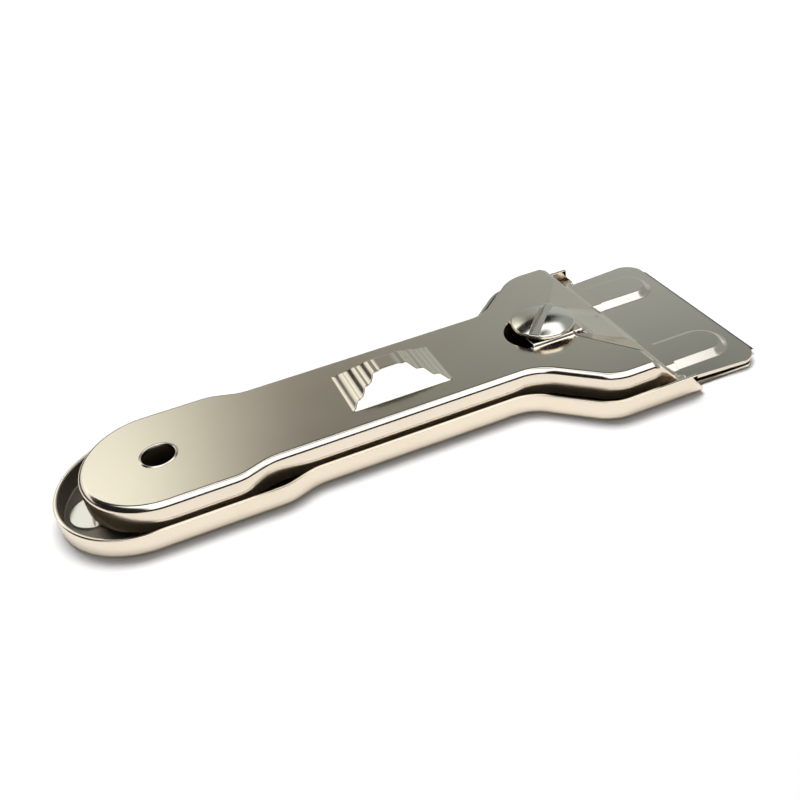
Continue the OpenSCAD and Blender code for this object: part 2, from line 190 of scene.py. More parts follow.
def sheet_piece(name, face, normals, back, triangles, bend, face_shade=0.0, back_shade=1.0):
    """A sheet with a show face, a back face and a rounded sheared edge along every open side. The face and
    the back carry a mark of painted shade, as much as the two shade shares say.
    """
    edge_round = 0.12
    edge_steps = 4
    triangles = facing(face, normals, triangles)
    count = len(face)
    sides = np.vstack((triangles[:, [0, 1]], triangles[:, [1, 2]], triangles[:, [2, 0]]))
    keys = np.sort(sides, axis=1)
    _, first, used = np.unique(keys[:, 0] * count + keys[:, 1], return_index=True, return_counts=True)
    open_sides = sides[first[used == 1]]
    along = unit(face[open_sides[:, 1]] - face[open_sides[:, 0]])
    out = np.zeros_like(face)
    for end in (0, 1):
        np.add.at(out, open_sides[:, end], np.cross(along, normals[open_sides[:, end]]))
    rim = np.unique(open_sides)
    out = unit(out[rim])
    half = (face[rim] - back[rim]) / 2
    middle = (face[rim] + back[rim]) / 2
    thick = np.linalg.norm(half, axis=1)[:, None]
    slot_of = np.full(count, -1)
    slot_of[rim] = np.arange(len(rim))
    points, turned, numbers = [face, back], [normals, -normals], [rim]
    for k in range(1, edge_steps):
        turn = math.pi * k / edge_steps
        points.append(middle + half * math.cos(turn) + out * edge_round * math.sin(turn))
        turned.append(unit(half / thick ** 2 * math.cos(turn) + out / edge_round * math.sin(turn)))
        numbers.append(2 * count + (k - 1) * len(rim) + np.arange(len(rim)))
    numbers.append(rim + count)
    faces = [triangles, triangles[:, ::-1] + count]
    a, b = slot_of[open_sides[:, 0]], slot_of[open_sides[:, 1]]
    for upper, lower in zip(numbers[:-1], numbers[1:]):
        faces.append(np.column_stack((upper[b], upper[a], lower[a])))
        faces.append(np.column_stack((upper[b], lower[a], lower[b])))
    edge_count = len(rim) * (edge_steps - 1)
    # Painted shade mark: how much of the metal's dark shade colour the face and the back take; the sheared
    # edges take none.
    inside_shade = np.concatenate((np.zeros(count) + face_shade, np.zeros(count) + back_shade, np.zeros(edge_count)))
    worn = np.concatenate((bend, np.zeros(count), np.ones(edge_count)))
    marks = {"inside_shade": inside_shade, "worn": worn}
    return piece_from(name, np.vstack(points), np.vstack(turned), np.vstack(faces), marks)


class Tone:
    """A value on a surface: sums on it add the Math nodes that work them out."""

    def __init__(self, tree, socket=None):
        self.tree = tree
        self.socket = socket

    def node(self, kind, settings, sockets, out=0):
        made = self.tree.nodes.new(kind)
        for name, value in settings.items():
            setattr(made, name, value)
        for name, value in sockets.items():
            if isinstance(value, Tone):
                self.tree.links.new(value.socket, made.inputs[name])
            else:
                made.inputs[name].default_value = value
        return Tone(self.tree, made.outputs[out] if made.outputs else None)

    def sum(self, operation, first, second):
        return self.node("ShaderNodeMath", {"operation": operation}, {0: first, 1: second})

    def __add__(self, other):
        return self.sum("ADD", self, other)

    __radd__ = __add__

    def __sub__(self, other):
        return self.sum("SUBTRACT", self, other)

    def __mul__(self, other):
        return self.sum("MULTIPLY", self, other)

    def blend(self, first, second):
        return self.node("ShaderNodeMix", {"data_type": "RGBA"}, {0: self, 6: first, 7: second}, 2)


def blank_finish(name):
    """A finish with no nodes yet, and a start for its values."""
    finish = bpy.data.materials.new(name)
    finish.use_nodes = True
    finish.node_tree.nodes.clear()
    return finish, Tone(finish.node_tree)


def metal(name, bright, dark, rough, grain_run, inside_shade=None):
    """Plated or bare steel: cloudy colour, fine rubbing lines along the tool and brighter worn bends. A last
    colour, where given, is painted shade that the points marked as inside take.
    """
    finish, start = blank_finish(name)
    spot = start.node("ShaderNodeTexCoord", {}, {}, 3)
    cloud = start.node("ShaderNodeTexNoise", {},
                       {"Vector": spot, "Scale": 90.0, "Detail": 4.0, "Roughness": 0.6})
    speck = start.node("ShaderNodeTexNoise", {},
                       {"Vector": spot, "Scale": 2600.0, "Detail": 3.0, "Roughness": 0.65})
    run = start.node("ShaderNodeMapping", {}, {"Vector": spot, "Scale": grain_run})
    lines = start.node("ShaderNodeTexNoise", {},
                       {"Vector": run, "Scale": 1.0, "Detail": 5.0, "Roughness": 0.7})
    worn = start.node("ShaderNodeAttribute", {"attribute_name": "worn"}, {}, 2)
    shade = cloud * 0.55 + speck * 0.2 + lines * 0.25
    shade = start.node("ShaderNodeMapRange", {"clamp": True},
                       {"Value": shade, "From Min": 0.38, "From Max": 0.62})
    colour = shade.blend((*dark, 1), (*bright, 1))
    dull = rough + (lines - 0.5) * 0.12 + (cloud - 0.5) * 0.1 - worn * 0.04
    # Painted shade: marked faces take the dark shade colour, standing in for the shade inside the shells and
    # under them.
    if inside_shade:
        within = start.node("ShaderNodeAttribute", {"attribute_name": "inside_shade"}, {}, 2)
        colour = within.blend(colour, (*inside_shade, 1))
        dull = dull + within * 0.3
    height = lines * 0.6 + speck * 0.4
    bump = start.node("ShaderNodeBump", {}, {"Height": height, "Strength": 0.05, "Distance": 0.0001})
    coat = start.node("ShaderNodeBsdfPrincipled", {},
                      {"Base Color": colour, "Metallic": 1.0, "Roughness": dull, "Normal": bump})
    start.node("ShaderNodeOutputMaterial", {}, {"Surface": coat})
    return finish


nickel_bright, nickel_dark = (0.88, 0.775, 0.635), (0.84, 0.735, 0.595)
along_tool = (260, 3800, 2200)
# The last colour is painted shade for the shell's inside faces.
shell_nickel = metal("shell_nickel", nickel_bright, nickel_dark, 0.16, along_tool, (0.3, 0.265, 0.21))
# Tail end, half widths at tail, waist and head, middles of the two curves, front end
lower_line = (0, 15.9, 13.8, 24.9, 43.0, 95.4, 120.8)
lower_bend = 1.2
wall_top = 4.5
wall_front = 118.1
wall_cut = 1.0
bend_rows = 7
wall_rows = 5
tongue_front = 134.3
tongue_half = 22.5
tongue_corner = 1.5
travel = 3.1
hole_x = 20.4
peg_r = 3.5
screw_x = 99.9
bush_foot_r = 3.02


def slot_line(rear, front, radius):
    """The outline of a round-ended slot along the tool."""
    return np.vstack((arc(front, 0, radius, -90, 90, 6), arc(rear, 0, radius, 90, 270, 6)))


peg_slot = slot_line(hole_x - travel, hole_x, peg_r)
bush_hole = arc(screw_x, 0, bush_foot_r, 0, 360, 6)[:-1]
rows, row_normals = [], []
for turn in np.radians(np.linspace(0, 90, bend_rows + 1)):
    path = pressed_line(lower_line, lower_bend * (1 - math.sin(turn)))
    plan = outward(path)
    rows.append(np.column_stack((path, np.full(len(path), lower_bend * (1 - math.cos(turn))))))
    row_normals.append(np.column_stack((plan * math.sin(turn), np.full(len(path), -math.cos(turn)))))
for height in np.linspace(lower_bend, wall_top, wall_rows + 1)[1:]:
    path = pressed_line(lower_line, 0)
    path[[0, -1], 0] = np.interp(height, [wall_cut, wall_top], [lower_line[6], wall_front])
    rows.append(np.column_stack((path, np.full(len(path), height))))
    row_normals.append(np.column_stack((outward(pressed_line(lower_line, 0)), np.zeros(len(path)))))
corner_x, corner_y = tongue_front - tongue_corner, tongue_half - tongue_corner
tongue = np.vstack(([[lower_line[6], -tongue_half]],
                    arc(corner_x, -corner_y, tongue_corner, -90, 0, 10),
                    arc(corner_x, corner_y, tongue_corner, 0, 90, 10),
                    [[lower_line[6], tongue_half]]))
foot = rows[0][:, :2]
flat, flat_faces, flat_place = fill_sheet([np.vstack((foot, tongue)), peg_slot, bush_hole], [])
floor_points = np.column_stack((flat, np.zeros(len(flat))))
floor_normals = np.tile((0.0, 0.0, -1.0), (len(flat), 1))
numbers = [flat_place[:len(foot)]]
for k in range(1, len(rows)):
    numbers.append(len(flat) + (k - 1) * len(foot) + np.arange(len(foot)))
face = np.vstack([floor_points] + rows[1:])
normals = np.vstack([floor_normals] + row_normals[1:])
row_bend = np.repeat([1.0, 0.0], [bend_rows * len(foot), wall_rows * len(foot)])
bend = np.concatenate((np.zeros(len(flat)), row_bend))
back = face - normals * sheet
# Painted shade inside the tray: its inner face takes the full dark shade colour up to x = 112 mm and a tenth
# of it from x = 115 mm on, towards the front end.
shaded_to, lit_from, lit_share = 112, 115, 0.1
tray_shade = np.interp(back[:, 0], [shaded_to, lit_from], [1, lit_share])
sheet_faces = np.vstack((flat_faces, strips(numbers)))
lower_shell = sheet_piece("lower_shell_sheet", face, normals, back, sheet_faces, bend, back_shade=tray_shade)
lower_shell.data.materials.append(shell_nickel)
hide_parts("lower_shell")
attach(lower_shell, "lower")


# Threaded bush: a turned and blackened steel boss that takes the clamp screw.
# Its foot is riveted through the floor of the lower shell, and the upper shell hides most of it.
bush_steel = metal("bush_steel", (0.07, 0.068, 0.066), (0.04, 0.039, 0.038), 0.32, (900, 900, 5200))
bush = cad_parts["threaded_bush"]
bush.data.materials.clear()
bush.data.materials.append(bush_steel)


# Tail spring: a strip of spring steel with a round foot, fixed to the floor at the tail.
# It climbs under the upper shell's tail and presses it up, so that the carriage slides stiffly.
# The last colour is painted shade: the spring's underside takes it.
spring_nickel = metal("spring_steel", (0.84, 0.79, 0.7), (0.76, 0.71, 0.62), 0.2, (500, 3600, 2000),
                      (0.2, 0.19, 0.17))
spring_thick = 0.4
spring_half = 4.4
spring_way = np.array([(2.0, 1.2), (6.7, 1.2), (12.2, 7.72), (13.8, 6.95)])


def rounded_way(corners, radius):
    """A path through the corners with each inner corner turned on the radius."""
    way = [corners[0]]
    for before, corner, after in zip(corners[:-2], corners[1:-1], corners[2:]):
        u, v = before - corner, after - corner
        u, v = u / np.hypot(*u), v / np.hypot(*v)
        half = math.acos(np.clip(np.dot(u, v), -1, 1)) / 2
        leg = radius / math.tan(half)
        middle = corner + (u + v) / np.hypot(*(u + v)) * radius / math.sin(half)
        start = corner + u * leg - middle
        finish = corner + v * leg - middle
        sweep = math.atan2(start[0] * finish[1] - start[1] * finish[0], np.dot(start, finish))
        for k in range(9):
            turn = sweep * k / 8
            way.append(middle + (start[0] * math.cos(turn) - start[1] * math.sin(turn),
                                 start[0] * math.sin(turn) + start[1] * math.cos(turn)))
    way.append(corners[-1])
    return np.array(way)


way = rounded_way(spring_way, 0.9)
reach = np.concatenate(([0], np.cumsum(np.hypot(*np.diff(way, axis=0).T))))
spring_length = reach[-1]
strip_pitch = 0.3
side_run = np.arange(spring_half + strip_pitch, spring_length, strip_pitch)
blank = np.vstack((arc(spring_half, 0, spring_half, 90, 270, 5),
                   [[x, -spring_half] for x in side_run],
                   [[spring_length, y] for y in np.linspace(-spring_half, spring_half, 13)],
                   [[x, spring_half] for x in side_run[::-1]]))
grid = [(x, y) for x in np.arange(0.5, spring_length - 0.2, strip_pitch) for y in np.linspace(-3.9, 3.9, 14)
        if x > spring_half or math.hypot(x - spring_half, y) < spring_half - strip_pitch]
flat, flat_faces = fill_sheet([blank], grid)[:2]


def strip_place(length):
    """Where points of the bent strip lie in side view, from their length along the flat blank."""
    return np.column_stack((np.interp(length, reach, way[:, 0]), np.interp(length, reach, way[:, 1])))


place = strip_place(flat[:, 0])
face = np.column_stack((place[:, 0], flat[:, 1], place[:, 1]))
nudge = 0.05
slope = unit(strip_place(flat[:, 0] + nudge) - strip_place(flat[:, 0] - nudge))
normals = np.column_stack((-slope[:, 1], np.zeros(len(flat)), slope[:, 0]))
spring = sheet_piece("tail_spring_strip", face, normals, face - normals * spring_thick, flat_faces,
                     np.zeros(len(flat)))
spring.data.materials.append(spring_nickel)
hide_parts("tail_spring")
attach(spring, "lower")


# Razor blade: a single-edge blade of thin carbon steel that lies on the tongue under the holder.
# Its two notches sit on the locating pins, and its edge is ground on both sides.
blade_steel = metal("blade_steel", (0.13, 0.13, 0.135), (0.08, 0.08, 0.085), 0.24, (300, 5200, 2200))
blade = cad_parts["razor_blade"]
blade.data.materials.clear()
blade.data.materials.append(blade_steel)


# Blade holder: the flat front plate with two long pressed ribs, on top of the blade.
# It is pressed from nickel-plated sheet, and its tang runs back under the hood to the screw.
# The last colour is painted shade: the holder's underside, which lies on the blade, takes it.
holder_nickel = metal("holder_nickel", (0.87, 0.775, 0.645), (0.83, 0.735, 0.605), 0.2, along_tool,
                      (0.16, 0.15, 0.13))
holder_top = 1.95
holder_front = 135.9
holder_half = 22.5
holder_taper = 0.06
holder_corner = 4
shoulder_x = 109.8
neck_x = 100.9
tang_tail = 92.5
tang_half = 8.4
clamp_gap_r = 4.4
rib_height = 1.1
rib_half = 4.65
rib_side = 13.3
rib_tail = 110.8
rib_end = holder_front - 2.6 - rib_half
pin_x = 117.4
pin_side = 5.5
pin_r = 1.5


def slot_distance(x, y, x0, x1, radius):
    """Distance from a round-ended slot's edge in plan, negative inside it."""
    return np.hypot(x - np.clip(x, x0, x1), y) - radius


def pressed_step(distance, inner, outer):
    """Rises smoothly from 0 outside a pressed edge to 1 inside it."""
    t = np.clip((outer - distance) / (outer + inner), 0, 1)
    return t * t * (3 - 2 * t)


def soft_low(a, b, k):
    """The lower of two faces, with the corner between them rounded."""
    h = np.maximum(k - np.abs(a - b), 0) / k
    return np.minimum(a, b) - h * h * k / 4


def soft_high(a, b, k):
    return -soft_low(-a, -b, k)


def pressed_wall(distance, inner, outer):
    """Rises at an even slope from 0 to 1 across a pressed edge, with a rounded foot and brow."""
    return soft_low(soft_high((outer - distance) / (outer + inner), 0, 0.3), 1, 0.3)


def holder_height(x, y):
    ribs = slot_distance(x, np.abs(y) - rib_side, rib_tail, rib_end, rib_half)
    return holder_top + rib_height * pressed_wall(ribs, 0.95, 0.25)


def raised(height, points):
    """Points and normals of a pressed face whose height is known all over its plan."""
    x, y = points.T
    h = 0.02
    slope_x = (height(x + h, y) - height(x - h, y)) / (2 * h)
    slope_y = (height(x, y + h) - height(x, y - h)) / (2 * h)
    return np.column_stack((x, y, height(x, y))), unit(np.column_stack((-slope_x, -slope_y, np.ones(len(x)))))


def grid_in(x0, x1, y0, y1, pitch):
    rows = np.arange(y0, y1, pitch * 0.866)
    out = []
    for k, y in enumerate(rows):
        xs = np.arange(x0 + (k % 2) * pitch / 2, x1, pitch)
        out.append(np.column_stack((xs, np.full(len(xs), y))))
    return np.vstack(out)


def close_up(loop, pitch):
    """The same closed loop with points no further apart than the pitch."""
    out = []
    for first, last in zip(loop, np.roll(loop, -1, axis=0)):
        n = max(1, int(math.ceil(np.hypot(*(last - first)) / pitch)))
        out += [first + (last - first) * k / n for k in range(n)]
    return np.array(out)


plate_turn = math.degrees(math.atan(holder_taper))
shoulder_half = holder_half - holder_taper * (holder_front - shoulder_x)
plate_line = close_up(np.vstack((
    [[shoulder_x, -shoulder_half]],
    arc(holder_front - holder_corner, -holder_half + holder_corner, holder_corner, -90 + plate_turn, 0, 6),
    arc(holder_front - holder_corner, holder_half - holder_corner, holder_corner, 0, 90 - plate_turn, 6),
    [[shoulder_x, shoulder_half], [neck_x, tang_half], [tang_tail, tang_half],
     [tang_tail, -tang_half], [neck_x, -tang_half]])), 1.0)
clamp_gap = slot_line(screw_x, screw_x + travel, clamp_gap_r)
pin_holes = [arc(pin_x, side * pin_side, pin_r, 0, 360, 10)[:-1] for side in (-1, 1)]
plain = grid_in(92, 137, -23, 23, 0.8)
grid = [plain]
for offset in np.arange(-1.4, 0.75, 0.1):
    for side in (-1, 1):
        rib = np.vstack((arc(rib_end, side * rib_side, rib_half + offset, -90, 90, 4),
                         arc(rib_tail, side * rib_side, rib_half + offset, 90, 270, 4)))
        grid.append(close_up(rib, 0.5))
grid = np.vstack(grid)
rib_zone = slot_distance(grid[:, 0], np.abs(grid[:, 1]) - rib_side, rib_tail, rib_end, rib_half)
spread = np.arange(len(grid)) < len(plain)
keep = inside_loop(grid, plate_line) & ~(spread & (rib_zone > -1.7) & (rib_zone < 1.0))
for hole in [clamp_gap] + pin_holes:
    keep &= ~inside_loop(grid, hole)
flat, flat_faces = fill_sheet([plate_line, clamp_gap] + pin_holes, grid[keep])[:2]
face, normals = raised(holder_height, flat)
rib_brow = slot_distance(flat[:, 0], np.abs(flat[:, 1]) - rib_side, rib_tail, rib_end, rib_half - 0.4)
holder = sheet_piece("blade_holder_plate", face, normals, face - (0, 0, sheet), flat_faces,
                     pressed_step(np.abs(rib_brow) - 0.3, 0.1, 0.3))
holder.data.materials.append(holder_nickel)
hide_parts("blade_holder")
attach(holder, "carriage")


# Locating pins: two short turned pins riveted into the holder, which the blade's notches sit on.
# They stand side by side just behind the lip and go through the blade.
pin_steel = metal("pin_steel", (0.62, 0.6, 0.57), (0.5, 0.48, 0.45), 0.25, (1200, 1200, 6000))


def turned(profile, segments):
    """Points, normals and triangles of a turned part from its profile of radius and height."""
    profile = np.array(profile)
    along = np.gradient(profile, axis=0)
    side = np.column_stack((along[:, 1], -along[:, 0]))
    side /= np.maximum(np.hypot(*side.T), 1e-9)[:, None]
    turns = np.linspace(0, 2 * math.pi, segments, endpoint=False)
    ring = np.column_stack((np.cos(turns), np.sin(turns)))
    points = np.vstack([np.column_stack((ring * r, np.full(segments, z))) for r, z in profile])
    normals = np.vstack([np.column_stack((ring * n, np.full(segments, m))) for n, m in side])
    numbers = [np.append(k * segments + np.arange(segments), k * segments) for k in range(len(profile))]
    return points, normals, strips(numbers)


pin_foot, pin_top = 0.85, 1.95
foot_bevel, top_bevel = 0.2, 0.1
pin_corners = [(pin_r - foot_bevel, pin_foot), (pin_r, pin_foot + foot_bevel),
               (pin_r, pin_top - top_bevel), (pin_r - top_bevel, pin_top)]
pin_profile = [(0.001, pin_foot)] + [corner for corner in pin_corners for _ in range(2)] + [(0.001, pin_top)]
points, normals, triangles = turned(pin_profile, 40)
pin_blank = piece_from("pin_blank", points + (pin_x, 0, 0), normals, facing(points, normals, triangles), {})
pin_tree = bpy.data.node_groups.new("pins_in_a_row", "GeometryNodeTree")
pin_tree.interface.new_socket("Geometry", in_out="OUTPUT", socket_type="NodeSocketGeometry")


def row_input(label, kind):
    """A new input of the row of pins, by the name that its modifier knows it under."""
    return pin_tree.interface.new_socket(label, in_out="INPUT", socket_type="NodeSocket" + kind).identifier


pin_input = row_input("Pin", "Object")
count_input = row_input("Pins", "Int")
gap_input = row_input("Spacing", "Float")
start_input = row_input("First pin", "Float")
coat_input = row_input("Finish", "Material")
asked = pin_tree.nodes.new("NodeGroupInput")
gap_way = pin_tree.nodes.new("ShaderNodeCombineXYZ")
first_way = pin_tree.nodes.new("ShaderNodeCombineXYZ")
row = pin_tree.nodes.new("GeometryNodeMeshLine")
pick = pin_tree.nodes.new("GeometryNodeObjectInfo")
stand = pin_tree.nodes.new("GeometryNodeInstanceOnPoints")
real = pin_tree.nodes.new("GeometryNodeRealizeInstances")
dress = pin_tree.nodes.new("GeometryNodeSetMaterial")
given = pin_tree.nodes.new("NodeGroupOutput")
for source, target in ((asked.outputs["Spacing"], gap_way.inputs["Y"]),
                       (asked.outputs["First pin"], first_way.inputs["Y"]),
                       (asked.outputs["Pins"], row.inputs["Count"]),
                       (first_way.outputs[0], row.inputs["Start Location"]),
                       (gap_way.outputs[0], row.inputs["Offset"]),
                       (asked.outputs["Pin"], pick.inputs["Object"]),
                       (row.outputs[0], stand.inputs["Points"]),
                       (pick.outputs["Geometry"], stand.inputs["Instance"]),
                       (stand.outputs[0], real.inputs[0]),
                       (real.outputs[0], dress.inputs["Geometry"]),
                       (asked.outputs["Finish"], dress.inputs["Material"]),
                       (dress.outputs[0], given.inputs[0])):
    pin_tree.links.new(source, target)
pins = bpy.data.objects.new("locating_pin_pair", bpy.data.meshes.new("locating_pin_pair"))
bpy.context.scene.collection.objects.link(pins)
build = pins.modifiers.new("row", "NODES")
build.node_group = pin_tree
build[pin_input] = pin_blank
build[count_input] = 2
build[gap_input] = 2 * pin_side * 0.001
build[start_input] = -pin_side * 0.001
build[coat_input] = pin_steel
made = bpy.data.meshes.new_from_object(pins.evaluated_get(bpy.context.evaluated_depsgraph_get()))
pins.modifiers.remove(build)
pins.data = made
bpy.data.objects.remove(pin_blank)
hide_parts("locating_pins")
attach(pins, "carriage")


# Upper shell: the cover that the hand holds, pressed from one nickel-plated steel sheet.
# It carries the hanging hole, the ridged thumb rest and the pad under the screw, and ends in a sloped hood.
# The last colour is painted shade for the cover's inside faces and for the dark line along its near fold.
cover_nickel = metal("cover_nickel", nickel_bright, nickel_dark, 0.17, along_tool, (0.12, 0.106, 0.084))
upper_line = (5.5, 14.2, 12.1, 22.5, 36.0, 97.7, 118.8)
upper_bend = 1.3
flat_top = 8.6
lip_top = 2.75
lip_x = 118.8
land_x = 117.4
crease_x = 111.9
fan_x = 104.3
fan_start = 6.0
fan_end = 17.0
fold_length = 14
hood_round = 0.5
fan_round = 0.4
fold_round = 0.12
arch_top = 3.9
arch_half = 6.25
arch_run = 1.1
hole_r = 3.2
thumb_start = 56.5
thumb_rear = 7.13
thumb_crest = 4.5
thumb_front = 8.37
thumb_end = thumb_start + thumb_rear + thumb_crest + thumb_front
thumb_half = 6.6
thumb_rise = 4.3
thumb_tilt = math.tan(math.radians(44))
thumb_ridges = 3
ridge_rise = 0.4
pad_half = 5.7
pad_end = 105.2
pad_slope = 106.15
pad_rise = 0.8
mouth_x = 94.9
mouth_depth = 3.2
mouth_half = 5.5
clamp_slot_r = 2.25
wall_draft = 7.0
skirt_rear, skirt_front = 115.8, 117.15
skirt_low, skirt_gap = 3.3, 0.02
fold_way = unit(np.array([[crease_x - fan_x, fan_end - fan_start]]))[0]
fold_out = np.array((-fold_way[1], fold_way[0]))


def fold_place(x, y):
    """How far points lie past the fold beside the hood's fan, and how far along it."""
    across, ahead = y - fan_start, x - fan_x
    return across * fold_way[0] - ahead * fold_way[1], across * fold_way[1] + ahead * fold_way[0]


def cover_height(x, y):
    """The cover's outer face: hood and lip, arches over the ribs, pad, thumb rest and hole rim."""
    drop = flat_top - lip_top
    fall = drop / ((land_x - fan_x) * fold_way[1])
    side_slope = flat_top - (x - crease_x) * drop / (land_x - crease_x)
    fan = flat_top - (x - fan_x) * drop / (land_x - fan_x)
    fan_wall = flat_top + fold_place(x, np.abs(y))[0] * fall
    sides = soft_low(flat_top, side_slope, hood_round)
    hood = soft_low(sides, soft_high(fan, fan_wall, fan_round), fold_round)
    hood = soft_high(hood, lip_top, hood_round)
    arch_in = arch_half - np.abs(np.abs(y) - rib_side)
    arch = lip_top + (arch_top - lip_top) * np.clip(arch_in / arch_run, 0, 1)
    hood = np.where(x > crease_x, soft_high(hood, arch, 0.3), hood)
    pad_step = pressed_wall(np.abs(y) - pad_half, 0.3, 0.15) * np.clip((x - mouth_x + 0.4) / 0.36, 0, 1)
    pad_face = soft_low(flat_top + pad_rise, flat_top + pad_rise - (x - pad_slope), 0.4)
    height = hood + np.maximum(pad_face - hood, 0) * pad_step
    climb = np.minimum((x - thumb_start) / thumb_rear, (thumb_end - x) / thumb_front)
    ridge = ridge_rise * (1 - np.cos(2 * math.pi * thumb_ridges * np.clip(climb, 0, 1))) / 2
    ridge = ridge * (0.55 + 0.45 * np.clip(climb * 3, 0, 1))
    crest = thumb_rise * soft_low(climb, 1.0, 0.12) + ridge
    hump = soft_low(crest, (thumb_half - np.abs(y)) * thumb_tilt, 0.35)
    height = height + soft_high(hump, 0, 0.2)
    rim = np.hypot(x - hole_x, y) - hole_r
    return height + 0.2 * pressed_step(rim, 0.0, 0.5) - 0.1 * pressed_step(rim, 0.05, 0.15)


def skirt_height(x):
    """Height of the cover's lower edge, which steps down to the holder under the lip."""
    return np.interp(x, [skirt_rear, skirt_front], [skirt_low, holder_top + skirt_gap])


bend_steps = np.linspace(wall_draft, 90, 9)
top_row = pressed_line(upper_line, upper_bend)
hole_line = arc(hole_x, 0, hole_r, 0, 360, 4)[:-1]
clamp_slot = slot_line(screw_x, screw_x + travel, clamp_slot_r)
mouth_r = (mouth_half ** 2 + mouth_depth ** 2) / (2 * mouth_depth)
mouth_turn = math.degrees(math.asin(mouth_half / mouth_r))
mouth_arc = arc(mouth_x - mouth_depth + mouth_r, 0, mouth_r, 180 - mouth_turn, 180 + mouth_turn, 3)
mouth_line = close_up(mouth_arc, 0.4)
lip_line = np.column_stack((np.full(140, lip_x), np.linspace(top_row[-1, 1], top_row[0, 1], 142)[1:-1]))
top_loop = np.vstack((top_row, lip_line))
coarse = grid_in(6.5, lip_x, -22, 22, 0.8)
thumb_zone = (thumb_start - 0.9, thumb_end + 0.9, -thumb_half - 0.8, thumb_half + 0.8)
pad_zone = (mouth_x - 0.8, fan_x - 1, -7.0, 7.0)
hood_zone = (fan_x - 1, lip_x - 0.15, -21.2, 21.2)
rim_zone = (hole_x - 4.2, hole_x + 4.2, -4.2, 4.2)
for (x0, x1, y0, y1), pitch in ((thumb_zone, 0.22), (pad_zone, 0.28), (hood_zone, 0.3), (rim_zone, 0.3)):
    x, y = coarse.T
    in_zone = (x > x0) & (x < x1) & (y > y0) & (y < y1)
    coarse = np.vstack((coarse[~in_zone], grid_in(x0, x1, y0, y1, pitch)))
x, y = coarse[:, 0], np.abs(coarse[:, 1])
off_rim = np.hypot(x - hole_x, y) > hole_r + 0.8
off_pad = (np.abs(y - pad_half) > 0.75) | (x < mouth_x - 0.5) | (x > pad_end)
past, along = fold_place(x, y)
off_fold = (np.abs(past + 0.05) > 0.45) | (along < -1) | (along > fold_length)
rows = [coarse[off_rim & off_pad & off_fold]]
fold_steps = np.arange(-0.9, fold_length, 0.25)[:, None]
for offset in np.linspace(-0.4, 0.3, 15):
    for side in (-1, 1):
        line = (fan_x, fan_start) + fold_steps * fold_way + offset * fold_out
        rows.append(line * (1, side))
pad_steps = np.arange(mouth_x - 0.6, pad_end, 0.25)
for offset in np.linspace(-0.7, 0.7, 15):
    for side in (-1, 1):
        rows.append(np.column_stack((pad_steps, np.full(len(pad_steps), side * (pad_half + offset)))))
for offset in (0.06, 0.12, 0.2, 0.3, 0.4, 0.5, 0.62):
    rows.append(arc(hole_x, 0, hole_r + offset, 0, 360, 4)[:-1])
grid = np.vstack(rows)
edge_gap, lip_gap = 0.25, 0.12
inner = pressed_line(upper_line, upper_bend + edge_gap)
inner = np.vstack((inner, [[lip_x - lip_gap, inner[-1, 1]], [lip_x - lip_gap, inner[0, 1]]]))
keep = inside_loop(grid, inner[inner[:, 0] <= lip_x]) & (grid[:, 0] < lip_x - lip_gap)
for hole in (hole_line, clamp_slot, mouth_line):
    keep &= ~inside_loop(grid, hole)
flat, flat_faces, flat_place = fill_sheet([top_loop, hole_line, clamp_slot, mouth_line], grid[keep])
face, normals = raised(cover_height, flat)
back = face - (0, 0, sheet)
rows, row_normals, row_backs, row_bend = [], [], [], []
for turn in np.radians(bend_steps[::-1][1:]):
    path = pressed_line(upper_line, upper_bend * (1 - math.cos(turn)))
    plan = outward(path)
    top, top_normals = raised(cover_height, path)
    room = np.minimum(upper_bend, (top[:, 2] - skirt_height(path[:, 0])) * 0.85)
    row = np.column_stack((path, top[:, 2] - room * (1 - math.sin(turn))))
    away = np.column_stack((plan * math.cos(turn), np.full(len(path), math.sin(turn))))
    rows.append(row)
    level = np.column_stack((plan, np.zeros(len(path))))
    row_normals.append(unit(level * math.cos(turn) + top_normals * math.sin(turn)))
    row_backs.append(row - away * sheet)
    row_bend.append(np.ones(len(path)))
bend_foot, wall_normals = rows[-1], row_normals[-1]
for part in np.linspace(0, 1, wall_rows + 1)[1:]:
    row = bend_foot.copy()
    row[:, 2] += (skirt_height(row[:, 0]) - row[:, 2]) * part
    rows.append(row)
    row_normals.append(wall_normals)
    row_backs.append(row - wall_normals * sheet)
    row_bend.append(np.zeros(len(row)))
numbers = [flat_place[:len(top_row)]]
for k in range(len(rows)):
    numbers.append(len(flat) + k * len(top_row) + np.arange(len(top_row)))
face = np.vstack([face] + rows)
normals = np.vstack([normals] + row_normals)
back = np.vstack([back] + row_backs)
bend = np.concatenate([np.zeros(len(flat))] + row_bend)
# Painted shade: the near fold shows as a dark line, a stripe of the painted inside shade colour along it
past, along = fold_place(face[:, 0], -face[:, 1])
fold_shade = np.clip(1.7 - np.abs(past) / 0.15, 0, 1) * ((along > -0.8) & (along < fold_length - 0.4))
sheet_faces = np.vstack((flat_faces, strips(numbers)))
upper_shell = sheet_piece("upper_shell_sheet", face, normals, back, sheet_faces, bend, face_shade=fold_shade)
upper_shell.data.materials.append(cover_nickel)
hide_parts("upper_shell")
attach(upper_shell, "carriage")


# Spring washer: a thin dished ring of hardened steel between the pad and the screw's head.
# It keeps the clamp tight, and only its edge shows.
# Its near-black colour is painted shade: it keeps the gap under the screw's head dark.
washer_steel = metal("washer_steel", (0.05, 0.048, 0.046), (0.03, 0.029, 0.028), 0.3, (900, 900, 4000))
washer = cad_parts["spring_washer"]
washer.data.materials.clear()
washer.data.materials.append(washer_steel)


